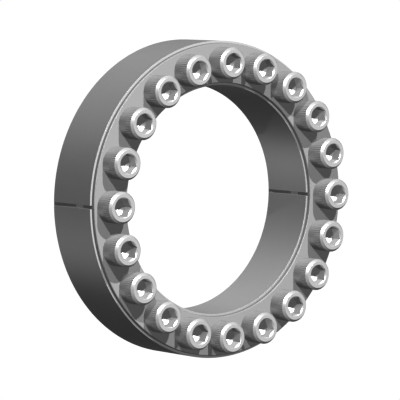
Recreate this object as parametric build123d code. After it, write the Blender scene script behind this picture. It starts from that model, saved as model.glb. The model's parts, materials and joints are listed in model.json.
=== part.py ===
from build123d import *
from math import cos, isclose, pi
import os

# A keyless shaft-to-hub locking assembly, lying on its back with the screw heads up.
# Two wedge-shaped pressure rings sit between a slit outer ring and a slit inner ring.
# The screws draw the pressure rings together, which spreads the outer ring into the hub
# and closes the inner ring on the shaft. All sizes are in millimetres.
# Z is the ring's axis, X points to the inner ring's slit, and z = 0 is the back face.

# Rings, along the axis
shaft_diameter = 130.0
ring_width = 34.0          # outer ring and inner ring
pressure_ring_proud = 2.0  # how far a pressure ring stands out of the other two, each side
pressure_ring_gap = 8.0    # between the two pressure rings, not yet drawn together
slit_width = 2.0

# Rings, across the section, from the shaft outwards
inner_ring_lip = 1.3       # end face of the inner ring
inner_wedge_wall = 1.55    # pressure ring between its thin end's inner edge and a screw hole
outer_wedge_wall = 1.35    # the same on the outer side
outer_ring_lip = 1.3       # end face of the outer ring
cone_slope = 0.25          # rise of a cone across the section, for each millimetre along the axis
ridge_land = 3.0           # flat top of the ridge where two cones meet
cone_clearance = 0.05      # radial, between a pressure ring's cone and the cone it seats in
edge_break = 0.35          # chamfer on the rings' corners

# Socket head cap screws
screw_count = 20
screw_diameter = 12.0
thread_engagement = 12.0   # length of screw inside the back pressure ring
screw_tip_chamfer = 1.2
head_diameter = 18.0
head_height = 12.0
head_edge_width = 1.25     # chamfer round the top of the head, across the section
head_edge_height = 1.45    # the same, along the axis
head_foot_break = 0.4
socket_across_flats = 10.0
socket_sides = 6
socket_depth = 6.0
socket_mouth_slope = 0.6   # countersink of the mouth: fall for each millimetre across
socket_floor_depth = 2.8   # drill point under the socket
socket_floor_clearance = 0.1

# Screw holes
hole_clearance = 0.5       # radial, front pressure ring
thread_fit = 0.05          # radial, back pressure ring, whose thread is drawn as a plain hole
hole_chamfer = 0.6

cutter_overlap = 1.0       # how far a cutter runs past the faces that it leaves through

# Worked out from the sizes above
middle = pressure_ring_proud + ring_width / 2
ring_bottom = pressure_ring_proud
ring_top = pressure_ring_proud + ring_width
front_face = ring_top + pressure_ring_proud
back_ring_top = middle - pressure_ring_gap / 2
front_ring_bottom = middle + pressure_ring_gap / 2
pressure_ring_width = front_face - front_ring_bottom
wedge_rise = cone_slope * (pressure_ring_width - pressure_ring_proud)
ridge_rise = cone_slope * (ring_width - ridge_land) / 2
hole_radius = screw_diameter / 2 + hole_clearance
tapped_radius = screw_diameter / 2 + thread_fit

shaft_radius = shaft_diameter / 2
inner_cone_foot = shaft_radius + inner_ring_lip
bolt_circle_radius = inner_cone_foot + wedge_rise + inner_wedge_wall + hole_radius
outer_cone_foot = bolt_circle_radius + hole_radius + outer_wedge_wall + wedge_rise
hub_radius = outer_cone_foot + outer_ring_lip

screw_length = pressure_ring_width + pressure_ring_gap + thread_engagement
screw_pitch_angle = 360 / screw_count


def is_listed(vertex, points):
    """Whether a section's vertex is one of the points (radius, z)."""
    return any(isclose(vertex.X, radius) and isclose(vertex.Y, z) for radius, z in points)


def turned(points, sharp=()):
    """A ring turned from its half section: points are (radius, z), and all corners but the sharp ones are broken."""
    section = make_face(Polyline(*points, close=True))
    broken = [vertex for vertex in section.vertices() if not is_listed(vertex, sharp)]
    section = chamfer(broken, edge_break)
    return revolve(Plane.XZ * section, Axis.Z)


def slit(ring, side, wall):
    """Cut a ring of the given wall right through at the side +1 (+X) or -1 (-X), from end to end."""
    inner_edge, outer_edge = wall
    cutter = Box(outer_edge - inner_edge + 2 * cutter_overlap, slit_width, ring_width + 2 * cutter_overlap)
    return ring - Pos(side * (inner_edge + outer_edge) / 2, 0, middle) * cutter


def make_outer_ring():
    """Plain cylinder outside, double cone inside with its ridge at mid-width."""
    ridge_radius = outer_cone_foot - ridge_rise
    land_low = middle - ridge_land / 2
    land_high = middle + ridge_land / 2
    ring = turned([
        (hub_radius, ring_bottom),
        (hub_radius, ring_top),
        (outer_cone_foot, ring_top),
        (ridge_radius, land_high),
        (ridge_radius, land_low),
        (outer_cone_foot, ring_bottom),
    ])
    return slit(ring, -1, (ridge_radius, hub_radius))


def make_inner_ring():
    """Plain bore inside, double cone outside with its ridge at mid-width."""
    ridge_radius = inner_cone_foot + ridge_rise
    land_low = middle - ridge_land / 2
    land_high = middle + ridge_land / 2
    ring = turned([
        (shaft_radius, ring_bottom),
        (inner_cone_foot, ring_bottom),
        (ridge_radius, land_low),
        (ridge_radius, land_high),
        (inner_cone_foot, ring_top),
        (shaft_radius, ring_top),
    ])
    return slit(ring, 1, (shaft_radius, ridge_radius))


def make_wedge(wide_end, seat, thin_end):
    """A pressure ring without its holes: short cylinders from the wide end to the seat, then cones to the thin end."""
    outer = outer_cone_foot - cone_clearance
    inner = inner_cone_foot + cone_clearance
    outer_seat = (outer, seat)
    inner_seat = (inner, seat)
    return turned(
        [
            (inner, wide_end),
            (outer, wide_end),
            outer_seat,
            (outer - wedge_rise, thin_end),
            (inner + wedge_rise, thin_end),
            inner_seat,
        ],
        sharp=[outer_seat, inner_seat],
    )


def hole_cutter(radius, low, high):
    """A through hole with a chamfered mouth at each end."""
    run = high - low
    hole = Pos(0, 0, (low + high) / 2) * Cylinder(radius, run)
    low_mouth = Pos(0, 0, low + hole_chamfer / 2) * Cone(radius + hole_chamfer, radius, hole_chamfer)
    high_mouth = Pos(0, 0, high - hole_chamfer / 2) * Cone(radius, radius + hole_chamfer, hole_chamfer)
    return hole + low_mouth + high_mouth


def drilled(ring, cutter):
    """Cut one cutter at each screw's place."""
    for number in range(screw_count):
        ring -= screw_place(number) * cutter
    return ring


def screw_place(number):
    """Where screw number 0, 1, 2 ... stands, turned with the ring so that a socket corner points outwards."""
    return Rot(0, 0, number * screw_pitch_angle) * Pos(bolt_circle_radius, 0, 0)


def make_front_pressure_ring():
    ring = make_wedge(front_face, ring_top, front_ring_bottom)
    return drilled(ring, hole_cutter(hole_radius, front_ring_bottom, front_face))


def make_rear_pressure_ring():
    ring = make_wedge(0, ring_bottom, back_ring_top)
    return drilled(ring, hole_cutter(tapped_radius, 0, back_ring_top))


def make_screw():
    """One cap screw, head up, with the underside of its head on the front face."""
    shank_radius = screw_diameter / 2
    head_radius = head_diameter / 2
    tip = front_face - screw_length
    top = front_face + head_height
    outline = Polyline(
        (0, tip),
        (shank_radius - screw_tip_chamfer, tip),
        (shank_radius, tip + screw_tip_chamfer),
        (shank_radius, front_face),
        (head_radius - head_foot_break, front_face),
        (head_radius, front_face + head_foot_break),
        (head_radius, top - head_edge_height),
        (head_radius - head_edge_width, top),
        (0, top),
        close=True,
    )
    body = revolve(Plane.XZ * make_face(outline), Axis.Z)

    corner_radius = socket_across_flats / 2 / cos(pi / socket_sides)
    socket = RegularPolygon(corner_radius, socket_sides)
    mouth_depth = corner_radius * socket_mouth_slope
    floor = top - socket_depth
    floor_radius = socket_across_flats / 2 - socket_floor_clearance
    body -= Pos(0, 0, floor) * extrude(socket, socket_depth)
    body -= Pos(0, 0, top - mouth_depth / 2) * Cone(0, corner_radius, mouth_depth)
    body -= Pos(0, 0, floor - socket_floor_depth / 2) * Cone(0, floor_radius, socket_floor_depth)
    return body


parts = {
    "outer_ring": make_outer_ring(),
    "inner_ring": make_inner_ring(),
    "front_pressure_ring": make_front_pressure_ring(),
    "rear_pressure_ring": make_rear_pressure_ring(),
}

screw = make_screw()
for number in range(screw_count):
    parts[f"screw_{number + 1:02d}"] = screw_place(number) * screw

os.makedirs("parts", exist_ok=True)
for node, solid in parts.items():
    export_step(solid, f"parts/{node}.step")

print(f"shaft {shaft_diameter:g}, hub {2 * hub_radius:g}, bolt circle {2 * bolt_circle_radius:g}")
print(f"{screw_count} screws {screw_diameter:g} x {screw_length:g}, each with {thread_engagement:g} in the back ring")
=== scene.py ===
# %% [markdown]
# # A shaft locking assembly, dressed for its photograph
#
# The object is a flat steel ring that locks a hub onto a plain shaft. Twenty socket head screws
# draw two wedge-shaped pressure rings together between a slit outer ring and a slit inner ring.
# The solids come from the CAD model and stay where they are. This notebook builds finer surfaces
# for the same pieces, gives them their finishes, and sets up the floor, the lights and the camera.

# %% Load the frame
import json

import bmesh
import bpy
import numpy as np
from mathutils import Matrix, Vector

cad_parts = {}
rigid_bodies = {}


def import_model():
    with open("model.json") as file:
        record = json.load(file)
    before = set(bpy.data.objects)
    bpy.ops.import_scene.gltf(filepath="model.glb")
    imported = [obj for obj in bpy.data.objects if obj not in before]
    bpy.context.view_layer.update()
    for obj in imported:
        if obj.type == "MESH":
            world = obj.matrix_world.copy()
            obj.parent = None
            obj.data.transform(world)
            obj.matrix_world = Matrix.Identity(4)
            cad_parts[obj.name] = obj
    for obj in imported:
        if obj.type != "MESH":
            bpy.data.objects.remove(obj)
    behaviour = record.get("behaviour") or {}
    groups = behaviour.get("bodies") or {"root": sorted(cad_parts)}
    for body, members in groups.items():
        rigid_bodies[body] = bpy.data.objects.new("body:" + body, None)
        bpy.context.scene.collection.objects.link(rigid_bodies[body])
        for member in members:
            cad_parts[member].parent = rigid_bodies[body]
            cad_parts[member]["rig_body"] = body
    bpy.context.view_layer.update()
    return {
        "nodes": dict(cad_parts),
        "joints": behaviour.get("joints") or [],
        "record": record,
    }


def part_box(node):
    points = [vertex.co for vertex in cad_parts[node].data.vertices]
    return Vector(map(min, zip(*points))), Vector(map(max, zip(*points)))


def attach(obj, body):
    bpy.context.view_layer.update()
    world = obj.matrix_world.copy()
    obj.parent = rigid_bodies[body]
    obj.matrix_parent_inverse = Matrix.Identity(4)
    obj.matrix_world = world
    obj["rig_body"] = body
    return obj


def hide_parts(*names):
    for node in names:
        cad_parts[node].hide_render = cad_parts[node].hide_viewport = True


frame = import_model()

# %% [markdown]
# ## Sizes
#
# Every size here is in metres. What the CAD model already knows is read from it: the bore and the
# outside from the mounts, the ends of the rings from their boxes, and the bolt circle and the
# pitch of the thread from the joints. The joints' ratio is a rounded number, so the pitch is
# rounded to a hundredth of a millimetre. Only sizes that the frame does not hold are typed in.

# %% Read the sizes from the frame
MM = 0.001
TURN = 2 * np.pi

mounts = {mount["name"]: mount for mount in frame["record"]["mounts"]}
joints = {joint["name"]: joint for joint in frame["joints"]}
couplings = {row["joint"]: row for row in frame["record"]["behaviour"]["couplings"]}
turn_per_metre = couplings["screw_01_turn"]["ratio"]

shaft_radius = mounts["shaft_bore"]["dims"]["r_mm"] * MM
hub_radius = mounts["hub_seat"]["dims"]["r_mm"] * MM
bolt_circle_radius = Vector(joints["screw_01_turn"]["pos_m"]).xy.length
screw_names = sorted(name for name in frame["nodes"] if name.startswith("screw_"))
sector = TURN / len(screw_names)

ring_bottom, ring_top = (corner.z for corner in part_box("outer_ring"))
front_ring_bottom, front_face = (corner.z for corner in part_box("front_pressure_ring"))
rear_ring_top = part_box("rear_pressure_ring")[1].z
screw_tip, head_top = (corner.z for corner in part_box("screw_01"))
thread_pitch = round(TURN / turn_per_metre, 5)
middle = (ring_top + ring_bottom) / 2
print("bolt circle", bolt_circle_radius, "pitch", thread_pitch, "head top", head_top)

# %% [markdown]
# ## Camera
#
# A camera can be placed by eye, but twenty equal heads on one circle measure better, so a pinhole
# camera was fitted to them. It stands far away with a long lens, about 38 degrees off the ring's
# axis, and it looks down on the part, which here lies on its back. The picture's upright is the
# frame's Y.

# %% Set up the camera
camera_place = Vector((-1058.6, 133.6, 1363.0)) * MM
camera_target = Vector((-4.6, -0.65, 25.0)) * MM
camera_lens = 270.5
sensor_width = 36.0
nearest_seen = 0.05

camera_data = bpy.data.cameras.new("photo_camera")
camera_data.sensor_width = sensor_width
camera_data.lens = camera_lens
camera_data.clip_start = nearest_seen
camera = bpy.data.objects.new("photo_camera", camera_data)
look = (camera_target - camera_place).normalized()
right = look.cross(Vector((0, 1, 0))).normalized()
up = right.cross(look)
camera_turn = Matrix((right, up, -look)).transposed()
camera.matrix_world = Matrix.Translation(camera_place) @ camera_turn.to_4x4()
bpy.context.scene.collection.objects.link(camera)
bpy.context.scene.camera = camera
print("camera looks along", tuple(round(value, 3) for value in look))

# %% [markdown]
# ## Shader maths
#
# A material is a graph of nodes. Wiring it by hand takes a line for each node and each link, and
# the formula gets lost in them. Here one small class wraps a socket and turns each plus or times
# into a Math node, so that the graph reads as the formula it stands for.

# %% A socket that can be added and multiplied
class Signal:
    """One socket of a node tree; arithmetic on it adds Math nodes to the tree."""

    def __init__(self, graph, socket):
        self.graph = graph
        self.socket = socket

    def __add__(self, other):
        return self.graph.math("ADD", self, other)

    def __radd__(self, other):
        return self.graph.math("ADD", other, self)

    def __sub__(self, other):
        return self.graph.math("SUBTRACT", self, other)

    def __rsub__(self, other):
        return self.graph.math("SUBTRACT", other, self)

    def __mul__(self, other):
        return self.graph.math("MULTIPLY", self, other)

    def __rmul__(self, other):
        return self.graph.math("MULTIPLY", other, self)


print("defined", Signal.__name__)

# %% [markdown]
# Every other node comes from one method, which takes the node's type, its settings and what goes
# into its sockets. The kinds that come back often get a short method of their own on top of it.

# %% A graph that grows by calls
class Graph:
    """A node tree that is built by calls: each call adds a node and hands back one output as a Signal."""

    def __init__(self, tree):
        self.tree = tree

    def feed(self, socket, value):
        """Give a socket a link if the value is a signal, and a plain value otherwise."""
        if isinstance(value, Signal):
            self.tree.links.new(value.socket, socket)
        else:
            socket.default_value = value

    def node(self, kind, settings=None, inputs=None, output=0, stops=None):
        """Add one node: its settings and a ramp's stops first, then its inputs."""
        made = self.tree.nodes.new(kind)
        for name, value in (settings or {}).items():
            setattr(made, name, value)
        for number, (position, value) in enumerate(stops or []):
            ramp = made.color_ramp.elements
            stop = ramp[number] if number < len(ramp) else ramp.new(position)
            stop.position = position
            stop.color = grey(value)
        for key, value in (inputs or {}).items():
            self.feed(made.inputs[key], value)
        return None if output is None else Signal(self, made.outputs[output])

    def math(self, operation, *values):
        """A Math node on one or more values."""
        return self.node("ShaderNodeMath", {"operation": operation}, dict(enumerate(values)))

    def mix(self, share, first, second):
        """Blend two colours by a share from 0 to 1. A Mix node takes its colours in sockets 6 and 7,
        and gives their blend at output 2."""
        return self.node("ShaderNodeMix", {"data_type": "RGBA"}, {0: share, 6: first, 7: second}, output=2)

    def noise(self, place, scale, detail, roughness, dimensions="3D"):
        """Soft noise about 0.5, read at a place; a larger scale makes it finer."""
        return self.node(
            "ShaderNodeTexNoise", {"noise_dimensions": dimensions},
            {"Vector": place, "Scale": scale, "Detail": detail, "Roughness": roughness})

    def bump(self, height, strength, distance):
        """A tilt of the surface, as if the height stood out of it by the distance."""
        return self.node(
            "ShaderNodeBump", None, {"Strength": strength, "Distance": distance, "Height": height})

    def attribute(self, name, output):
        """A value that the mesh carries on its points."""
        return self.node("ShaderNodeAttribute", {"attribute_name": name}, output=output)


def grey(value):
    """A neutral colour."""
    return (value, value, value, 1.0)


print("defined", Graph.__name__)

# %% [markdown]
# A material is such a graph, and it ends in its Principled shader. What is the same all over a
# surface is set on the shader's own socket, and only what changes over the surface gets nodes.

# %% A graph that ends in a shader
class Finish(Graph):
    """A material under construction, which ends in its Principled shader."""

    def __init__(self, name, colour, metallic):
        self.material = bpy.data.materials.new(name)
        self.material.use_nodes = True
        self.material.diffuse_color = colour
        super().__init__(self.material.node_tree)
        self.shader = self.tree.nodes["Principled BSDF"]
        self.shader.inputs["Metallic"].default_value = metallic

    def end(self, **sockets):
        """Feed the Principled shader; an underscore in a name stands for a space."""
        for name, value in sockets.items():
            self.feed(self.shader.inputs[name.replace("_", " ")], value)
        return self.material


print("defined", Finish.__name__)

# %% [markdown]
# ## Finishes
#
# The rings are turned on a lathe, so their marks run round the axis. A photograph of brushed steel
# could be wrapped round them, but it would need a map and would show its seam. Noise needs neither:
# on a cylinder a mark depends on the height, on a flat face on the radius, and a noise read at
# (radius, height) serves both. The marks tilt the surface slightly. Together with slow clouds they
# also make it a little darker or lighter, duller or brighter.
#
# The flat ends were faced in another cut. They are lighter than the sides, and on the slit rings
# they are duller too.

# %% Turned steel for the rings
mark_scale = 2600.0
cloud_scale = 38.0
mark_depth = 0.006 * MM
mark_strength = 0.5
roughness_swing = 0.12


def turned_steel(name, light, dark, end_light, end_height, metallic, roughness, end_roughness):
    """Lathe marks: noise over (radius, height). Shade = half marks + half clouds, and it blends dark
    into light. An end is what lies farther than end_height from mid-width."""
    steel = Finish(name, grey(light), metallic)
    place = steel.node("ShaderNodeTexCoord", output="Object")
    flat = steel.node("ShaderNodeVectorMath", {"operation": "MULTIPLY"}, {0: place, 1: (1, 1, 0)})
    radius = steel.node("ShaderNodeVectorMath", {"operation": "LENGTH"}, {0: flat}, output="Value")
    height = steel.node("ShaderNodeSeparateXYZ", None, {0: place}, output="Z")
    ring_place = steel.node("ShaderNodeCombineXYZ", None, {0: radius, 1: height})
    marks = steel.noise(ring_place, mark_scale, detail=3.0, roughness=0.6, dimensions="2D")
    clouds = steel.noise(place, cloud_scale, detail=4.0, roughness=0.55)
    shade = marks * 0.5 + clouds * 0.5
    at_end = steel.math("GREATER_THAN", steel.math("ABSOLUTE", height - middle), end_height)
    duller_end = (end_roughness - roughness) * at_end
    return steel.end(
        Base_Color=steel.mix(at_end, steel.mix(shade, grey(dark), grey(light)), grey(end_light)),
        Roughness=roughness + roughness_swing * (shade - 0.5) + duller_end,
        Normal=steel.bump(marks, mark_strength, mark_depth))


print("lathe marks", mark_depth / MM, "mm deep")

# %% [markdown]
# The slit rings' narrow corner belongs to the end, so the end begins just below it. The pressure
# rings' wider corner keeps the darker tint of the sides, or it would shine in the photograph's
# light, so there the end is only the flat.

# %% Three kinds of turned steel
edge_break = 0.35 * MM
slit_ring_break = 0.08 * MM

# How much of a corner, counted from the end face, has the end's tint
slit_corner_share = 1.1
pressure_corner_share = 0.15
slit_ring_end = ring_top - middle - slit_corner_share * slit_ring_break
pressure_ring_end = front_face - middle - pressure_corner_share * edge_break

outer_ring_steel = turned_steel(
    "outer_ring_steel", light=0.61, dark=0.55, end_light=0.75, end_height=slit_ring_end,
    metallic=0.5, roughness=0.40, end_roughness=0.62)
inner_ring_steel = turned_steel(
    "inner_ring_steel", light=0.66, dark=0.59, end_light=0.70, end_height=slit_ring_end,
    metallic=0.5, roughness=0.40, end_roughness=0.62)
pressure_ring_steel = turned_steel(
    "pressure_ring_steel", light=0.50, dark=0.44, end_light=0.59, end_height=pressure_ring_end,
    metallic=0.3, roughness=0.60, end_roughness=0.60)
print("turned finishes", outer_ring_steel.name, inner_ring_steel.name, pressure_ring_steel.name)

# %% [markdown]
# The screws are lightest on the faced tops of their heads. The socket's walls, the chamfer, the
# rolled side and the drill's cone at the bottom of the socket are darker, each more than the one
# before. Part of this is painted light: the drill's cone is painted shade in the recess, the
# socket's walls are lighter than the side as painted bounce light, and the chamfer is darker than
# the top as painted shade that tones down its highlight. The side keeps a plain darker tint.
# Object coordinates tell a point's height, but not how far it is from the axis of its own screw.
# So the mesh carries a number on its points for this tint, and the direction from the screw's
# axis, named around. Noise that is read at that direction is the same all the way up the head,
# which gives the faint streaks along its side.

# %% Bright steel for the screws
mottle_scale = 700.0
mottle_swing = 0.1
mottle_depth = 0.01 * MM
mottle_strength = 0.35
streak_scale = 6.0
streak_swing = 1.4


def screw_finish(name, bright, dull, metallic, roughness):
    """Tint from dull to bright by the number on the mesh's points, which holds painted shade and
    painted bounce light as well as plain tint. The brighter places get a fine mottling and the
    duller ones streaks, each as a swing about its mean of 0.5."""
    steel = Finish(name, grey(bright), metallic)
    place = steel.node("ShaderNodeTexCoord", output="Object")
    # The number on the points holds painted shade and painted bounce light as well as plain tint
    polish_and_shade = steel.attribute("polish_and_shade", "Fac")
    around = steel.attribute("around", "Vector")
    mottle = steel.noise(place, mottle_scale, detail=4.0, roughness=0.6) - 0.5
    streaks = steel.noise(around, streak_scale, detail=4.0, roughness=0.7) - 0.5
    share = polish_and_shade * (1 + mottle_swing * mottle) + streak_swing * (1 - polish_and_shade) * streaks
    return steel.end(
        Base_Color=steel.mix(share, grey(dull), grey(bright)),
        Roughness=roughness + mottle_swing * mottle,
        Normal=steel.bump(mottle, mottle_strength, mottle_depth))


screw_steel = screw_finish("screw_steel", bright=0.82, dull=0.56, metallic=0.5, roughness=0.38)
print("screw finish", screw_steel.name)

# %% [markdown]
# ## From arrays to a mesh
#
# Each surface is a grid of points, worked out as whole arrays. A grid becomes quads by joining
# each point to its neighbours; several grids that share their edges are put together and welded.
# Modifiers could build such parts as well, but here every point lies exactly where a size puts it.

# %% Grids of points
def grid_faces(rows, columns, closed_columns=False):
    """Quads of a grid whose point (i, j) has the index i * columns + j."""
    i = np.arange(rows - 1)
    j = np.arange(columns if closed_columns else columns - 1)
    low, left = np.meshgrid(i, j, indexing="ij")
    high = low + 1
    far = (left + 1) % columns
    corners = [low * columns + left, low * columns + far, high * columns + far, high * columns + left]
    return np.stack(corners, axis=-1).reshape(-1, 4)


def polar(radius, angle, height):
    """Points (radius * cos(angle), radius * sin(angle), height), with a last axis of three."""
    radius, angle, height = np.broadcast_arrays(radius, angle, height)
    return np.stack([radius * np.cos(angle), radius * np.sin(angle), height], axis=-1)


def turned_about_z(points, angles):
    """Copies of the points, one for each angle, turned about the Z axis:
    (x * cos - y * sin, x * sin + y * cos, z)."""
    cosines = np.cos(angles)[:, None]
    sines = np.sin(angles)[:, None]
    x, y, z = points.reshape(-1, 3).T
    copies = [x * cosines - y * sines, x * sines + y * cosines, z + 0 * cosines]
    return np.stack(copies, axis=-1)


print("a grid of 3 x 3 points has", len(grid_faces(3, 3)), "quads")

# %% [markdown]
# The mesh is shaded smooth, apart from the edges where two faces meet at more than a given angle.
# Welding comes before the normals are worked out, because they need a closed skin to tell the
# outside from the inside.

# %% Welding and shading
weld_distance = 0.002 * MM


class Shell:
    """Collects grids of points and their faces until they become one welded mesh."""

    def __init__(self):
        self.points = []
        self.faces = []
        self.count = 0

    def add(self, points, faces):
        """Add one patch; its faces are counted from its own first point."""
        points = np.asarray(points, float).reshape(-1, 3)
        self.points.append(points)
        self.faces.append([face + self.count for face in faces])
        self.count += len(points)

    def add_copies(self, points, faces, angles):
        """Add the same patch once for each angle about the Z axis."""
        for copy in turned_about_z(points, angles):
            self.add(copy, faces)

    def mesh(self, name, sharp_degrees):
        """Weld all patches into one mesh whose faces point outwards."""
        points = np.concatenate(self.points)
        faces = [list(map(int, face)) for group in self.faces for face in group]
        data = bpy.data.meshes.new(name)
        data.from_pydata(points.tolist(), [], faces)
        work = bmesh.new()
        work.from_mesh(data)
        bmesh.ops.remove_doubles(work, verts=work.verts, dist=weld_distance)
        bmesh.ops.recalc_face_normals(work, faces=work.faces)
        work.to_mesh(data)
        work.free()
        data.shade_smooth()
        data.set_sharp_from_angle(angle=np.radians(sharp_degrees))
        return data


print("points closer than", weld_distance / MM, "mm are welded")

# %% [markdown]
# Each new piece stands for one CAD node and moves with it. In the photograph hardly any soft light
# or reflection passes from one piece to another, and only the hard shadows join them. So a piece
# is hidden from diffuse and glossy rays, and the camera and the shadows still see it.

# %% Put a mesh in the place of a CAD node
def place_piece(name, data, material, node):
    """Make an object that replaces a CAD node and rides on that node's body."""
    data.materials.append(material)
    piece = bpy.data.objects.new(name, data)
    bpy.context.scene.collection.objects.link(piece)
    piece.visible_diffuse = False
    piece.visible_glossy = False
    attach(piece, frame["nodes"][node]["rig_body"])
    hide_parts(node)


print("CAD nodes to replace", len(frame["nodes"]))

# %% [markdown]
# ## Sections with broken edges
#
# A turned part is its half section, carried round the axis. Every corner of such a part is broken
# with a small chamfer, and on the photograph these chamfers are the thin lines along the rings.
# A Bevel modifier would also bevel the slits and the holes. Here each corner of the section is
# replaced by two points, and only what is turned gets its chamfer.

# %% Break the corners of a section
def broken_section(corners, size):
    """A closed section with chamfered corners: corner P becomes the two points that lie the given
    size away from P along its two sides."""
    corners = np.asarray(corners, float)
    before = np.roll(corners, 1, axis=0) - corners
    after = np.roll(corners, -1, axis=0) - corners
    before /= np.linalg.norm(before, axis=1, keepdims=True)
    after /= np.linalg.norm(after, axis=1, keepdims=True)
    size = np.broadcast_to(size, len(corners))[:, None]
    return np.stack([corners + before * size, corners + after * size], axis=1).reshape(-1, 2)


print("a square gets", len(broken_section([(1, 0), (1, 1), (2, 1), (2, 0)], 0.1)), "points")

# %% [markdown]
# ## Outer ring and inner ring
#
# Both are slit right through at one place, so that they can spread or close. Inside the outer ring
# and outside the inner ring two cones meet in a ridge. A whole ring could be cut with a box, but
# the cut would leave a crooked row of faces. Instead the section is carried round from one side of
# the slit to the other. The slit's sides are parallel, so at a smaller radius it takes a wider
# angle: half of it is arcsin(half the slit / radius).

# %% Carry a section round to the slit
slit_half_width = 1.0 * MM
round_steps = 361
ring_sharp_degrees = 12.0


def slit_ring(name, section, slit_angle):
    """The closed section carried round the axis from one side of the slit to the other:
    angle = slit + half the slit + share * (a turn - the whole slit)."""
    radius, height = section.T
    half_slit = np.arcsin(slit_half_width / radius)
    share = np.linspace(0, 1, round_steps)[:, None]
    angle = slit_angle + half_slit + share * (TURN - 2 * half_slit)
    points = polar(radius, angle, height)
    faces = list(grid_faces(round_steps, len(section), closed_columns=True))
    last = (round_steps - 1) * len(section)
    ends = [np.arange(len(section)), last + np.arange(len(section))]
    shell = Shell()
    shell.add(points, faces + ends)
    return shell.mesh(name, ring_sharp_degrees)


print("slit", 2 * slit_half_width / MM, "mm wide,", round_steps - 1, "steps round")

# %% [markdown]
# Each section has six corners: the plain side that meets the hub or the shaft, and two cones with
# the narrow flat of the ridge between them. The outer ring's cones face inwards and the inner
# ring's outwards. Their slits lie on opposite sides of the axis.

# %% Build the two slit rings
cone_slope = 0.25
ridge_land = 3.0 * MM
ring_lip = 1.3 * MM
outer_cone_foot = hub_radius - ring_lip
inner_cone_foot = shaft_radius + ring_lip
ridge_rise = cone_slope * (ring_top - ring_bottom - ridge_land) / 2
ridge_top = middle + ridge_land / 2
ridge_bottom = middle - ridge_land / 2

outer_section = broken_section([
    (hub_radius, ring_bottom),
    (hub_radius, ring_top),
    (outer_cone_foot, ring_top),
    (outer_cone_foot - ridge_rise, ridge_top),
    (outer_cone_foot - ridge_rise, ridge_bottom),
    (outer_cone_foot, ring_bottom),
], slit_ring_break)
inner_section = broken_section([
    (shaft_radius, ring_bottom),
    (shaft_radius, ring_top),
    (inner_cone_foot, ring_top),
    (inner_cone_foot + ridge_rise, ridge_top),
    (inner_cone_foot + ridge_rise, ridge_bottom),
    (inner_cone_foot, ring_bottom),
], slit_ring_break)
outer_mesh = slit_ring("outer_ring_turned", outer_section, slit_angle=np.pi)
inner_mesh = slit_ring("inner_ring_turned", inner_section, slit_angle=0.0)
place_piece("outer_ring_turned", outer_mesh, outer_ring_steel, "outer_ring")
place_piece("inner_ring_turned", inner_mesh, inner_ring_steel, "inner_ring")
print("slit rings", len(outer_mesh.polygons), len(inner_mesh.polygons))

# %% [markdown]
# ## Threads
#
# A thread is a ridge that climbs one pitch for each turn. The Screw modifier could wind one, but
# its ends would stick out. This grid is slanted with the thread: a row keeps its place on the ridge
# all the way round, at height = pitch * (row's phase + angle / turn). Four rows for each pitch give
# the crest and the root their flats. Rows that would lie past an end are pressed flat against it
# and vanish when the mesh is welded.

# %% A slanted grid for threads
screw_radius = 6.0 * MM
root_radius = 4.93 * MM
thread_phases = np.array([-0.06, 0.06, 0.39, 0.61])
thread_shape = np.array([1.0, 1.0, 0.0, 0.0])
spare_turns = 2


def thread_grid(low, high, angles, radius_at):
    """A helical band: height = pitch * (turn number + phase + angle / turn), pressed flat between
    low and high. Its radius is radius_at(share, height), with share 1 on the crest and 0 in the
    root. The last angle is one turn after the first."""
    first = int(np.floor(low / thread_pitch)) - spare_turns
    last = int(np.ceil(high / thread_pitch)) + spare_turns
    turns = np.arange(first, last)[:, None]
    phase = (turns + thread_phases).ravel()[:, None]
    share = np.tile(thread_shape, len(turns))[:, None]
    height = np.clip(thread_pitch * (phase + angles / TURN), low, high)
    points = polar(radius_at(share, height), angles, height)
    return points, grid_faces(*points.shape[:2])


print("thread of pitch", thread_pitch, "and depth", round(screw_radius - root_radius, 5))

# %% [markdown]
# ## Pressure rings
#
# Each pressure ring is a wedge all round, with twenty holes through it. Holes that a Boolean cuts
# leave long thin faces, whose shading shows on a flat face. So the flat ends are made of twenty
# sectors. In each of them rays run from the hole's circle to the sector's edge, which keeps the
# circle exact. The hole's wall and the turned sides start from the same points, so the whole ring
# welds into one closed skin.

# %% One sector of a holed face
side_steps = 14
ray_shares = np.array([0.0, 0.08, 0.5, 1.0])


def sector_edge(inner, outer):
    """The closed edge of one sector, (radius, angle): out along one side, round the outer edge,
    in along the other side and back along the inner edge."""
    share = np.linspace(0, 1, side_steps, endpoint=False)
    low = np.full(side_steps, -sector / 2)
    rise = share * (outer - inner)
    sweep = share * sector
    radius = [inner + rise, np.full(side_steps, outer), outer - rise, np.full(side_steps, inner)]
    angle = [low, low + sweep, -low, -low - sweep]
    return np.concatenate(radius), np.concatenate(angle)


def about_first_screw(radius, angle, height):
    """Points about the axis of the first screw: polar point + (bolt circle's radius, 0, 0)."""
    return polar(radius, angle, height) + (bolt_circle_radius, 0, 0)


edge_points = polar(*sector_edge(inner_cone_foot, outer_cone_foot), 0.0)
ray_angles = np.unwrap(np.arctan2(edge_points[:, 1], edge_points[:, 0] - bolt_circle_radius))
hole_angles = np.append(ray_angles, ray_angles[0] + TURN)


def holed_face(inner, outer, height, hole_mouth):
    """Point = circle * (1 - s) + edge * s, with s from 0 at the hole's mouth to 1 at the edge."""
    edge = polar(*sector_edge(inner, outer), height)
    circle = about_first_screw(hole_mouth, ray_angles, height)
    s = ray_shares[:, None, None]
    points = circle * (1 - s) + edge * s
    return points, grid_faces(len(s), len(edge), closed_columns=True)


print("a sector's edge has", len(ray_angles), "points")

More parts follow.
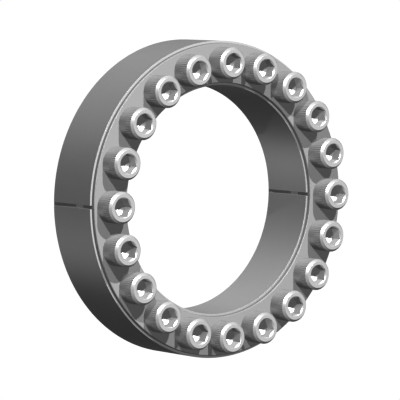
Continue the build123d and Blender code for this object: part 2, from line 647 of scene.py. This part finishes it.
# %% [markdown]
# The sides are turned surfaces: a short cylinder from the wide end to the seat, then a cone to the
# thin end. Their corners are broken, but for the seat, which stays sharp. The section is closed on
# the bolt circle, inside the steel, and those points are dropped again, because the holed faces
# take their place.

# %% Put a pressure ring together
cone_clearance = 0.05 * MM
sector_angles = np.arange(len(screw_names)) * sector
side_angles = np.linspace(-sector / 2, TURN - sector / 2, len(screw_names) * side_steps + 1)


def wedge_side(shell, radius, slope, wide_end, seat, thin_end):
    """Turn one side, where radius = seat's radius + slope * distance from the seat on the cone.
    Returns the side's radius at the wide end and at the thin end."""
    section = broken_section([
        (bolt_circle_radius, wide_end),
        (radius, wide_end),
        (radius, seat),
        (radius + slope * abs(thin_end - seat), thin_end),
        (bolt_circle_radius, thin_end),
    ], [0, edge_break, 0, edge_break, 0])
    on_side = np.abs(section[:, 0] - bolt_circle_radius) > edge_break
    side_radius, height = section[on_side].T
    points = polar(side_radius, side_angles[:, None], height)
    shell.add(points, grid_faces(*points.shape[:2]))
    return side_radius[0], side_radius[-1]


def pressure_ring(name, wide_end, seat, thin_end, hole_mouth, hole_wall):
    """Two turned sides, two holed ends, and the wall of one hole repeated for each screw."""
    shell = Shell()
    outer_seat = outer_cone_foot - cone_clearance
    inner_seat = inner_cone_foot + cone_clearance
    outer = wedge_side(shell, outer_seat, -cone_slope, wide_end, seat, thin_end)
    inner = wedge_side(shell, inner_seat, cone_slope, wide_end, seat, thin_end)
    for inner_edge, outer_edge, height in zip(inner, outer, (wide_end, thin_end)):
        face = holed_face(inner_edge, outer_edge, height, hole_mouth)
        shell.add_copies(*face, sector_angles)
    shell.add_copies(*hole_wall, sector_angles)
    return shell.mesh(name, ring_sharp_degrees)


print("sectors", len(sector_angles), "columns", len(side_angles) - 1)

# %% [markdown]
# The front ring's holes are plain and clear the screws by half a millimetre. Each has a small
# chamfer at its mouth, so its wall is a profile of four points, carried round.

# %% Front pressure ring
hole_chamfer = 0.6 * MM
hole_clearance = 0.5 * MM
clear_radius = screw_radius + hole_clearance
clear_mouth = clear_radius + hole_chamfer
clear_profile = np.array([
    (clear_mouth, front_ring_bottom),
    (clear_radius, front_ring_bottom + hole_chamfer),
    (clear_radius, front_face - hole_chamfer),
    (clear_mouth, front_face),
])
clear_points = about_first_screw(clear_profile[:, :1], hole_angles, clear_profile[:, 1:])
clear_wall = (clear_points, grid_faces(*clear_points.shape[:2]))
front_mesh = pressure_ring(
    "front_ring_turned", front_face, ring_top, front_ring_bottom, clear_mouth, clear_wall)
place_piece(
    "front_ring_turned", front_mesh, pressure_ring_steel, "front_pressure_ring")
print("front ring", len(front_mesh.polygons), "faces")

# %% [markdown]
# The rear ring's holes are tapped. A nut thread is the screw's own shape, a little larger, so that
# the two never touch. At both ends a countersink widens it: radius = max(thread, cone). Its mouth
# is as wide as in the CAD model, where a plain hole clears the shank by the tapped fit.

# %% Rear pressure ring
thread_clearance = 0.1 * MM
tapped_fit = 0.05 * MM
tapped_mouth = screw_radius + tapped_fit + hole_chamfer


def tapped_radius(share, height):
    """The larger of the thread, clearance + root + (crest - root) * share, and the countersink,
    mouth - distance from the nearer end."""
    thread = thread_clearance + root_radius + (screw_radius - root_radius) * share
    countersink = tapped_mouth - np.minimum(height, rear_ring_top - height)
    return np.maximum(thread, countersink)


tapped_points, tapped_faces = thread_grid(0.0, rear_ring_top, hole_angles, tapped_radius)
tapped_wall = (tapped_points + (bolt_circle_radius, 0, 0), tapped_faces)
rear_mesh = pressure_ring(
    "rear_ring_turned", 0.0, ring_bottom, rear_ring_top, tapped_mouth, tapped_wall)
place_piece(
    "rear_ring_turned", rear_mesh, pressure_ring_steel, "rear_pressure_ring")
print("rear ring", len(rear_mesh.polygons), "faces")

# %% [markdown]
# ## Screws
#
# A socket head cap screw has a knurled head with a chamfered top edge, and a hexagon socket with a
# countersunk mouth and the cone that the drill left at its bottom. The head could be a cylinder
# with the knurl as a bump, but the knurl shows on the head's outline. So the head is a stack of
# closed loops from the foot up over the top and down into the socket. Each loop is a radius for
# every angle: round, knurled or six-sided. A loop close to each side of an edge keeps it crisp.

# %% Sizes of a screw head
head_radius = 9.0 * MM
head_foot_break = 0.4 * MM
head_edge_width = 1.25 * MM
head_edge_height = 1.45 * MM
head_edge_slope = head_edge_height / head_edge_width
top_radius = head_radius - head_edge_width
edge_bottom = head_top - head_edge_height
socket_flat = 5.0 * MM
socket_corner = socket_flat / np.cos(TURN / 12)
mouth_margin = 0.05 * MM
mouth_radius = socket_corner + mouth_margin
mouth_slope = 0.8
socket_floor = head_top - 6.0 * MM
floor_corner = 0.1 * MM
drill_radius = socket_flat - 0.15 * MM
drill_point_radius = 0.1 * MM
drill_point = head_top - 8.8 * MM
crisp = 0.05 * MM
support = 0.2 * MM
print("head", 2 * head_radius / MM, "mm across, socket", 2 * socket_flat / MM)

# %% [markdown]
# The knurl is 48 shallow grooves. On the photograph it covers the upper part of the head only and
# fades out below. Each tooth takes three angles, of which one is the groove's bottom, and the
# hexagon's radius is flat / cos(angle from the middle of its side).

# %% The loops of a screw head
knurl_teeth = 48
knurl_depth = 0.17 * MM
knurl_bottom = front_face + 5.6 * MM
knurl_runout = 1.2 * MM
tooth_phases = np.array([0.0, 0.3, 0.65])
tooth_cut = np.tile([0.0, 0.0, 1.0], knurl_teeth)
head_angles = ((np.arange(knurl_teeth)[:, None] + tooth_phases) / knurl_teeth * TURN).ravel()
hexagon = socket_flat / np.cos(head_angles % (TURN / 6) - TURN / 12)


def head_loops():
    """(radius, height) of every loop, from the foot of the head to the bottom of the socket.
    Below the knurl the loops are round. A groove cuts the chamfer lower down than a crest does:
    chamfer's height = its bottom + (head's radius - radius) * slope."""
    groove = knurl_depth * tooth_cut
    knurled = head_radius - groove
    knurl_top = edge_bottom + groove * head_edge_slope
    mouth_top = head_top - crisp / 2
    return [
        (head_radius - head_foot_break, front_face),
        (head_radius, front_face + head_foot_break),
        (head_radius, knurl_bottom - knurl_runout),
        (knurled, knurl_bottom),
        (knurled, knurl_top - support),
        (knurled, knurl_top - crisp),
        (knurled - crisp, knurl_top + crisp * head_edge_slope),
        (knurled - support, knurl_top + support * head_edge_slope),
        (top_radius + support, head_top - support * head_edge_slope),
        (top_radius + crisp, head_top - crisp * head_edge_slope),
        (top_radius - crisp, head_top),
        (top_radius - support, head_top),
        (mouth_radius + support, head_top),
        (mouth_radius + crisp, head_top),
        (mouth_radius - crisp / 2, mouth_top),
        (hexagon, mouth_top - mouth_slope * (mouth_radius - hexagon)),
        (hexagon, socket_floor + support),
        (hexagon - floor_corner, socket_floor),
        (drill_radius, socket_floor),
        (drill_point_radius, drill_point),
        (0.0, drill_point),
    ]


loops = [np.broadcast_arrays(radius, height, head_angles) for radius, height in head_loops()]
head_points = np.stack([polar(radius, angle, height) for radius, height, angle in loops])
print("head", head_points.shape[0], "loops of", head_points.shape[1], "points")

# %% [markdown]
# The shank is threaded from its chamfered tip up to the head, where the root runs out to the full
# diameter. Its coarser columns meet the head's finer ones in a flat ring of many-cornered faces
# under the head.

# %% The mesh of one screw
shank_columns = 48
columns_ratio = len(head_angles) // shank_columns
shank_angles = np.append(head_angles[::columns_ratio], TURN)
tip_chamfer = 1.2 * MM
runout_turns = 3
screw_sharp_degrees = 15.0


def screw_thread_radius(share, height):
    """Radius = root + (crest - root) * share. The root grows to the crest's radius within one turn,
    which starts runout_turns below the head, and the tip's cone cuts both: its radius grows as
    much as its height."""
    runout = np.clip((height - front_face) / thread_pitch + runout_turns, 0, 1)
    root = root_radius + (screw_radius - root_radius) * runout
    radius = root + (screw_radius - root) * share
    return np.minimum(radius, screw_radius - tip_chamfer + (height - screw_tip))


def flat_ring(outer_first):
    """Faces between a coarse loop and a fine one, whose points come after it: face k has the coarse
    points k and k + 1, and the fine points from one to the other."""
    k = np.arange(shank_columns)[:, None]
    inner = (k + [0, 1]) % shank_columns
    outer = outer_first + (k * columns_ratio + np.arange(columns_ratio, -1, -1)) % len(head_angles)
    return np.concatenate([inner, outer], axis=1)


def screw_mesh(name):
    """One screw about the Z axis: tip, thread, flat ring under the head, and head."""
    shell = Shell()
    tip_radius = np.array([0.0, screw_radius - tip_chamfer])[:, None]
    tip = polar(tip_radius, shank_angles, screw_tip)
    shell.add(tip, grid_faces(*tip.shape[:2]))
    shell.add(*thread_grid(screw_tip, front_face, shank_angles, screw_thread_radius))
    collar = polar(screw_radius, shank_angles[:-1], front_face)
    foot = head_points[0]
    shell.add(np.concatenate([collar, foot]), flat_ring(len(collar)))
    shell.add(head_points, grid_faces(*head_points.shape[:2], closed_columns=True))
    return shell.mesh(name, screw_sharp_degrees)


model_screw = screw_mesh("model_screw")
model_points = np.empty(3 * len(model_screw.vertices))
model_screw.vertices.foreach_get("co", model_points)
model_points = model_points.reshape(-1, 3)
print("a screw has", len(model_screw.polygons), "faces and", len(model_points), "points")

# %% [markdown]
# The numbers for the tint and the painted light could be painted by hand, but a point's place
# tells which surface it belongs to. They are worked out while the screw still stands on the Z axis.

# %% Mark the points for the tint and the painted light
# The drill's cone is painted shade in the recess, the socket's walls painted bounce light, and the chamfer
# painted shade that tones down its highlight; the top and the side are plain tint
top_polish = 1.0
chamfer_painted_shade = 0.65
side_polish = 0.40
socket_painted_bounce = 0.75
drill_painted_shade = 0.2


def polish_and_shade_of(points):
    """Tint and painted light of each point, by its place: the drill's cone (painted shade), the
    socket's wall (painted bounce light), the chamfer (painted shade), the top or the side (plain
    tint). The chamfer is the cone height = top - (radius - top's radius) * slope."""
    x, y, height = points.T
    radius = np.hypot(x, y)
    past_top = np.maximum(radius - top_radius, 0)
    on_chamfer = (height > head_top - past_top * head_edge_slope - crisp / 2) & (past_top > crisp / 2)
    on_top = height > head_top - crisp / 4
    in_socket = (radius < mouth_radius) & (height > front_face)
    on_drill_cone = in_socket & (radius < socket_corner) & (height < socket_floor + crisp)
    return np.select(
        [on_drill_cone, in_socket, on_chamfer, on_top],
        [drill_painted_shade, socket_painted_bounce, chamfer_painted_shade, top_polish], side_polish)


def direction_from_axis(points):
    """(x, y, 0) / radius, and nearly nothing on the axis itself."""
    flat = points * (1, 1, 0)
    return flat / np.maximum(np.linalg.norm(flat, axis=1, keepdims=True), crisp)


around_axis = direction_from_axis(model_points)
screw_polish_and_shade = polish_and_shade_of(model_points)
# This number carries the tint together with its painted shade and painted bounce light
polish_and_shade = model_screw.attributes.new("polish_and_shade", "FLOAT", "POINT")
polish_and_shade.data.foreach_set("value", screw_polish_and_shade)
print("kinds of surface on a screw", len(np.unique(screw_polish_and_shade)))

# %% [markdown]
# The twenty screws could share one mesh, and each object could turn it to its place. But a piece
# keeps its place in its mesh and its object at the origin, as a CAD node does. So the mesh is
# copied, and each copy is turned about the ring's axis. The direction from the axis gets the
# screw's own number as its third part, so that the streaks differ from head to head.

# %% Set the twenty screws
model_screw.transform(Matrix.Translation((bolt_circle_radius, 0, 0)))
for number, node in enumerate(screw_names):
    data = model_screw.copy()
    around = data.attributes.new("around", "FLOAT_VECTOR", "POINT")
    around.data.foreach_set("vector", (around_axis + (0, 0, number)).ravel())
    data.transform(Matrix.Rotation(number * sector, 4, "Z"))
    place_piece(node + "_knurled", data, screw_steel, node)
bpy.data.meshes.remove(model_screw)
print(len(screw_names), "screws set")

# %% [markdown]
# ## Floor
#
# The photograph's ground is plain white with no shadow on it. A white sheet under the usual lights
# would turn grey and catch shadows. This one lies just under the part, its light is its own, and
# only the camera sees it, so that it doesn't brighten the steel above it either.

# %% Lay the floor
floor_reach = 12.0
floor_drop = 0.2 * MM
floor_corners = np.array([(-1, -1, 0), (1, -1, 0), (1, 1, 0), (-1, 1, 0)]) * floor_reach
floor_data = bpy.data.meshes.new("floor")
floor_data.from_pydata((floor_corners - (0, 0, floor_drop)).tolist(), [], [(0, 1, 2, 3)])
white = Finish("floor_white", grey(0.9), metallic=0.0)
floor_data.materials.append(
    white.end(Base_Color=grey(0.0), Roughness=1.0, Emission_Color=grey(1.0), Emission_Strength=1.0))
floor = bpy.data.objects.new("floor", floor_data)
bpy.context.scene.collection.objects.link(floor)
floor.visible_diffuse = False
floor.visible_glossy = False
floor.visible_shadow = False
print("floor reaches", floor_reach, "m each way")

# %% [markdown]
# ## Light
#
# Two hard lights cast the two sets of crisp shadows on the front face. The shadows of one set all
# fall straight down in the picture, so its light is far away. A lamp at a great distance would do,
# but a sun needs only a direction.

# %% Hang the sun
sun_direction = Vector((0.0, 0.67, 0.74))
sun_width = 0.003
sun_strength = 1.98

sun_data = bpy.data.lights.new("high_light", "SUN")
sun_data.angle = sun_width
sun_data.energy = sun_strength
sun = bpy.data.objects.new("high_light", sun_data)
sun.rotation_mode = "QUATERNION"
sun.rotation_quaternion = sun_direction.to_track_quat("Z", "Y")
bpy.context.scene.collection.objects.link(sun)
print("sun", sun.name, "of strength", sun_strength)

# %% [markdown]
# The other set fans out from the upper left, so its light is near, and a lamp stands for it. A
# lamp's light fades with the distance. On the photograph it hardly does, so its falloff is set to
# constant.

# %% Hang the lamp
lamp_place = (-0.426, 0.460, 0.538)
lamp_radius = 0.002
lamp_strength = 22.8

lamp_data = bpy.data.lights.new("near_light", "POINT")
lamp_data.shadow_soft_size = lamp_radius
lamp_data.energy = lamp_strength
lamp_data.use_nodes = True
lamp_graph = Graph(lamp_data.node_tree)
even = lamp_graph.node("ShaderNodeLightFalloff", None, {"Strength": 1.0}, output="Constant")
lamp_graph.feed(lamp_data.node_tree.nodes["Emission"].inputs["Strength"], even)
lamp = bpy.data.objects.new("near_light", lamp_data)
lamp.location = lamp_place
bpy.context.scene.collection.objects.link(lamp)
print("lamp", lamp.name, "of strength", lamp_strength)

# %% [markdown]
# The rest is a soft room, brighter in some directions than in others, which gives the round sides
# their long gradients. Large area lights could give them too, but each would add shadows of its
# own. Above the horizon the room is even. Below it the brightness changes with the azimuth,
# because that is what the upright sides mirror.

# %% Brightness of the room
# By azimuth in degrees below the horizon, and in all directions above it
light_below = {
    -180: 0.28, -165: 0.40, -150: 0.73, -135: 0.83, -120: 0.50, -105: 0.06,
    -90: 0.20, -60: 0.13, -30: 0.30, 0: 0.40, 30: 0.50, 60: 0.73,
    90: 0.62, 120: 0.60, 150: 0.33, 180: 0.28,
}
light_above = 0.50
round_stops = [(0.5 + azimuth / 360, light) for azimuth, light in light_below.items()]
print("room between", min(light_below.values()), "and", max(light_below.values()))

# %% [markdown]
# The world gets these values as nodes: a ramp round the compass below the horizon, one grey above
# it, and a short blend between them. Only the camera sees plain white instead. The room has no
# small bright spot, so it needs no sampling of its own.

# %% Paint the room
horizon_blur = 0.05

world = bpy.data.worlds.new("room")
world.use_nodes = True
world.cycles.sampling_method = "NONE"
bpy.context.scene.world = world
world.node_tree.nodes.clear()
room = Graph(world.node_tree)

direction = room.node("ShaderNodeTexCoord", output="Generated")
x_part = room.node("ShaderNodeSeparateXYZ", None, {0: direction}, output="X")
y_part = room.node("ShaderNodeSeparateXYZ", None, {0: direction}, output="Y")
z_part = room.node("ShaderNodeSeparateXYZ", None, {0: direction}, output="Z")
round_share = 0.5 + room.math("ARCTAN2", y_part, x_part) * (1 / TURN)
glow_below = room.node("ShaderNodeValToRGB", None, {"Fac": round_share}, stops=round_stops)
height_share = room.node(
    "ShaderNodeMapRange", None,
    {"Value": z_part, "From Min": -horizon_blur, "From Max": horizon_blur})
glow = room.mix(height_share, glow_below, grey(light_above))
soft = room.node("ShaderNodeBackground", None, {"Color": glow, "Strength": 1.0})
plain = room.node("ShaderNodeBackground", None, {"Color": grey(1.0), "Strength": 1.0})
seen = room.node("ShaderNodeLightPath", output="Is Camera Ray")
both = room.node("ShaderNodeMixShader", None, {0: seen, 1: soft, 2: plain})
room.node("ShaderNodeOutputWorld", None, {"Surface": both}, output=None)
print("room painted with", len(round_stops), "stops")

# %% [markdown]
# ## Last steps
#
# The usual view bends bright tones as film does. The view named Raw writes a brightness as the
# same grey, and the finishes and lights above were matched to the photograph that way.

# %% Finish with the Raw view
bpy.context.scene.view_settings.view_transform = "Raw"
